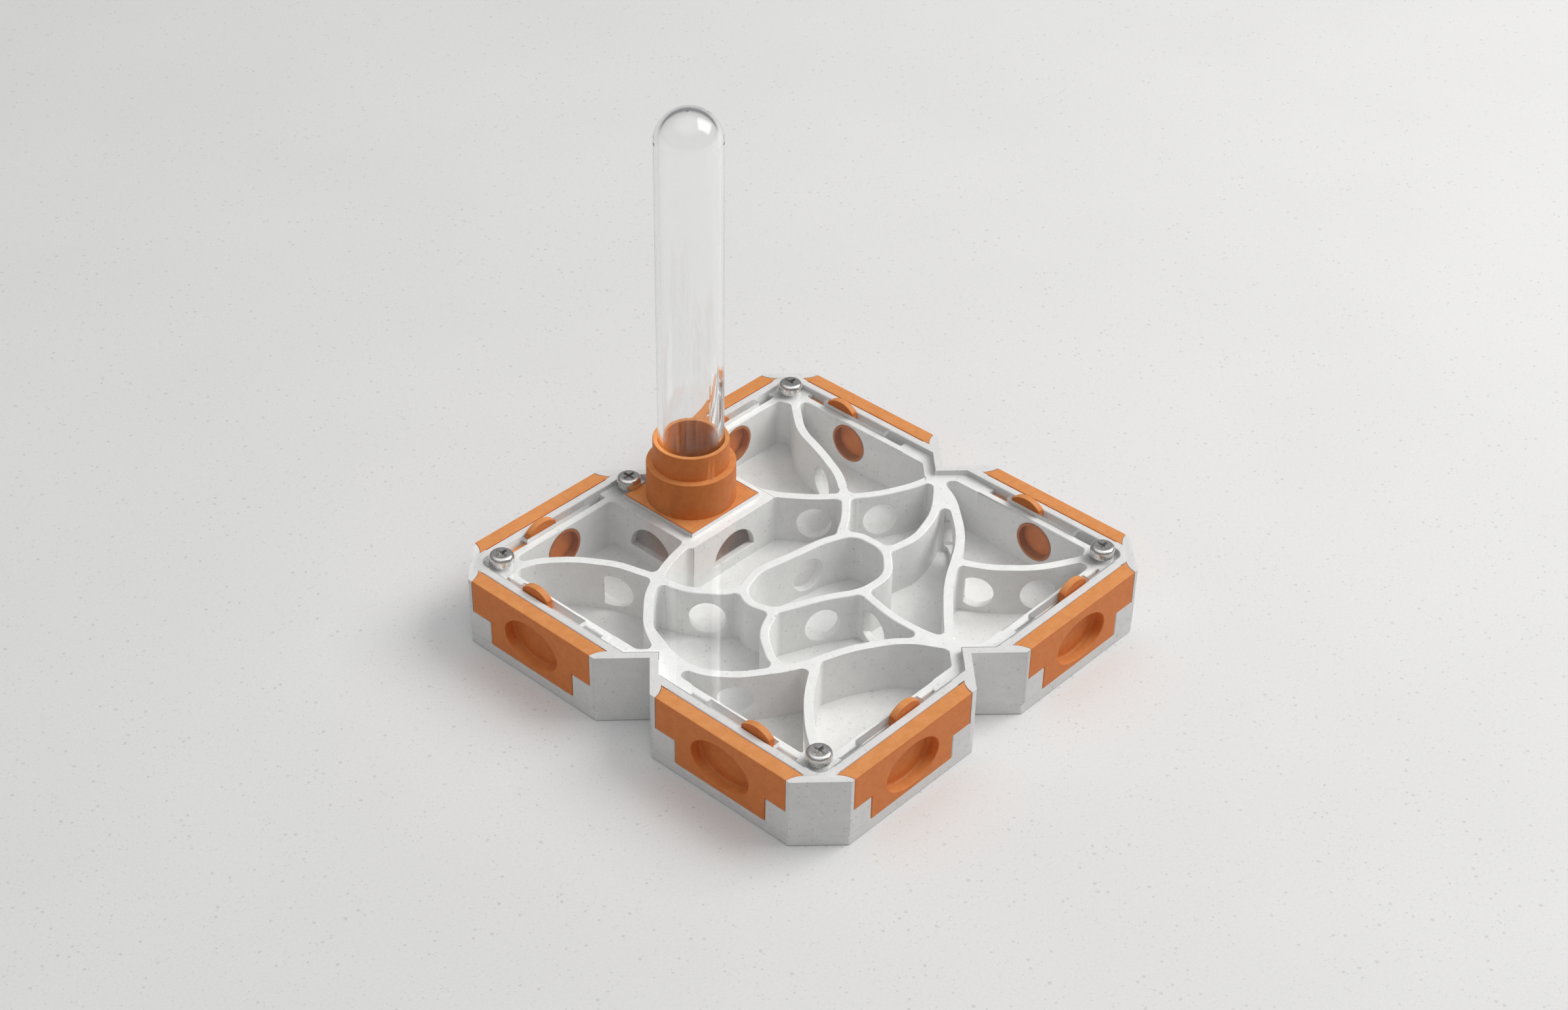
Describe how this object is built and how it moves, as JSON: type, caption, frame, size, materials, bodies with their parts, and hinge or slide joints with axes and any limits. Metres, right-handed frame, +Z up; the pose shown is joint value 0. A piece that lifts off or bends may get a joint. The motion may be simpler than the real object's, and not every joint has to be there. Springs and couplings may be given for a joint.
{
  "type": "ant habitat",
  "caption": "Square ant nest with curved chambers under a clear screwed lid, sliding port gates, lift-out port covers and a test tube that waters it.",
  "frame": {"origin": "middle of the underside", "axes": "+Z up, along the test tube; -Y towards the front side, +Y towards the tube's side"},
  "size_m": [0.12, 0.12, 0.123],
  "materials": {
    "nest_print": "pale grey, finely speckled like stone, matt",
    "orange_print": "matt orange, fine print layers",
    "clear_sheet": "clear, polished",
    "glass": "clear, smooth",
    "steel": "bright, lightly worn"
  },
  "bodies": {
    "nest": {"corner_back_left": "nest_print", "corner_back_right": "nest_print", "corner_front_left": "nest_print", "corner_front_right": "nest_print", "floor": "nest_print", "middle_back": "nest_print", "middle_front": "nest_print", "middle_left": "nest_print", "middle_right": "nest_print", "port_linings": "orange_print", "side_back_left": "nest_print", "side_back_right": "nest_print", "side_front_left": "nest_print", "side_front_right": "nest_print", "side_left_back": "nest_print", "side_left_front": "nest_print", "side_right_back": "nest_print", "side_right_front": "nest_print", "tube_socket": "orange_print", "wall_back_left_corner": "nest_print", "wall_back_right_corner": "nest_print", "wall_front_left": "nest_print", "wall_front_left_corner": "nest_print", "wall_front_right": "nest_print", "wall_front_right_corner": "nest_print", "wall_left_middle": "nest_print", "wall_right_middle": "nest_print", "wall_ring": "nest_print", "wall_ring_to_fork": "nest_print", "wall_ring_to_front": "nest_print", "wall_ring_to_front_left": "nest_print", "wall_ring_to_left": "nest_print", "wall_ring_to_right": "nest_print", "wall_well_left": "nest_print", "wall_well_right": "nest_print", "well": "nest_print"},
    "lid": {"lid": "clear_sheet", "screws": "steel"},
    "tube": {"test_tube": "glass"},
    "cover_front_left": {"cover_front_left": "orange_print"},
    "gate_front_left": {"gate_front_left": "orange_print"},
    "cover_front_right": {"cover_front_right": "orange_print"},
    "gate_front_right": {"gate_front_right": "orange_print"},
    "cover_right_front": {"cover_right_front": "orange_print"},
    "gate_right_front": {"gate_right_front": "orange_print"},
    "cover_right_back": {"cover_right_back": "orange_print"},
    "gate_right_back": {"gate_right_back": "orange_print"},
    "cover_back_right": {"cover_back_right": "orange_print"},
    "gate_back_right": {"gate_back_right": "orange_print"},
    "cover_back_left": {"cover_back_left": "orange_print"},
    "gate_back_left": {"gate_back_left": "orange_print"},
    "cover_left_back": {"cover_left_back": "orange_print"},
    "gate_left_back": {"gate_left_back": "orange_print"},
    "cover_left_front": {"cover_left_front": "orange_print"},
    "gate_left_front": {"gate_left_front": "orange_print"}
  },
  "joints": [
    {"name": "lid_lift", "type": "slide", "parent": "nest", "child": "lid", "axis": [0, 0, 1], "range_m": [0, 0.04]},
    {"name": "tube_pull", "type": "slide", "parent": "nest", "child": "tube", "axis": [0, 0, 1], "range_m": [0, 0.03]},
    {"name": "cover_front_left_lift", "type": "slide", "parent": "nest", "child": "cover_front_left", "axis": [0, 0, 1], "range_m": [0, 0.016]},
    {"name": "gate_front_left_slide", "type": "slide", "parent": "nest", "child": "gate_front_left", "axis": [-1, 0, 0], "range_m": [0, 0.0096]},
    {"name": "cover_front_right_lift", "type": "slide", "parent": "nest", "child": "cover_front_right", "axis": [0, 0, 1], "range_m": [0, 0.016]},
    {"name": "gate_front_right_slide", "type": "slide", "parent": "nest", "child": "gate_front_right", "axis": [-1, 0, 0], "range_m": [0, 0.0096]},
    {"name": "cover_right_front_lift", "type": "slide", "parent": "nest", "child": "cover_right_front", "axis": [0, 0, 1], "range_m": [0, 0.016]},
    {"name": "gate_right_front_slide", "type": "slide", "parent": "nest", "child": "gate_right_front", "axis": [0, -1, 0], "range_m": [0, 0.0096]},
    {"name": "cover_right_back_lift", "type": "slide", "parent": "nest", "child": "cover_right_back", "axis": [0, 0, 1], "range_m": [0, 0.016]},
    {"name": "gate_right_back_slide", "type": "slide", "parent": "nest", "child": "gate_right_back", "axis": [0, -1, 0], "range_m": [0, 0.0096]},
    {"name": "cover_back_right_lift", "type": "slide", "parent": "nest", "child": "cover_back_right", "axis": [0, 0, 1], "range_m": [0, 0.016]},
    {"name": "gate_back_right_slide", "type": "slide", "parent": "nest", "child": "gate_back_right", "axis": [1, 0, 0], "range_m": [0, 0.0096]},
    {"name": "cover_back_left_lift", "type": "slide", "parent": "nest", "child": "cover_back_left", "axis": [0, 0, 1], "range_m": [0, 0.016]},
    {"name": "gate_back_left_slide", "type": "slide", "parent": "nest", "child": "gate_back_left", "axis": [1, 0, 0], "range_m": [0, 0.0096]},
    {"name": "cover_left_back_lift", "type": "slide", "parent": "nest", "child": "cover_left_back", "axis": [0, 0, 1], "range_m": [0, 0.016]},
    {"name": "gate_left_back_slide", "type": "slide", "parent": "nest", "child": "gate_left_back", "axis": [0, -1, 0], "range_m": [0, 0.0096]},
    {"name": "cover_left_front_lift", "type": "slide", "parent": "nest", "child": "cover_left_front", "axis": [0, 0, 1], "range_m": [0, 0.016]},
    {"name": "gate_left_front_slide", "type": "slide", "parent": "nest", "child": "gate_left_front", "axis": [0, 1, 0], "range_m": [0, 0.0096]}
  ]
}
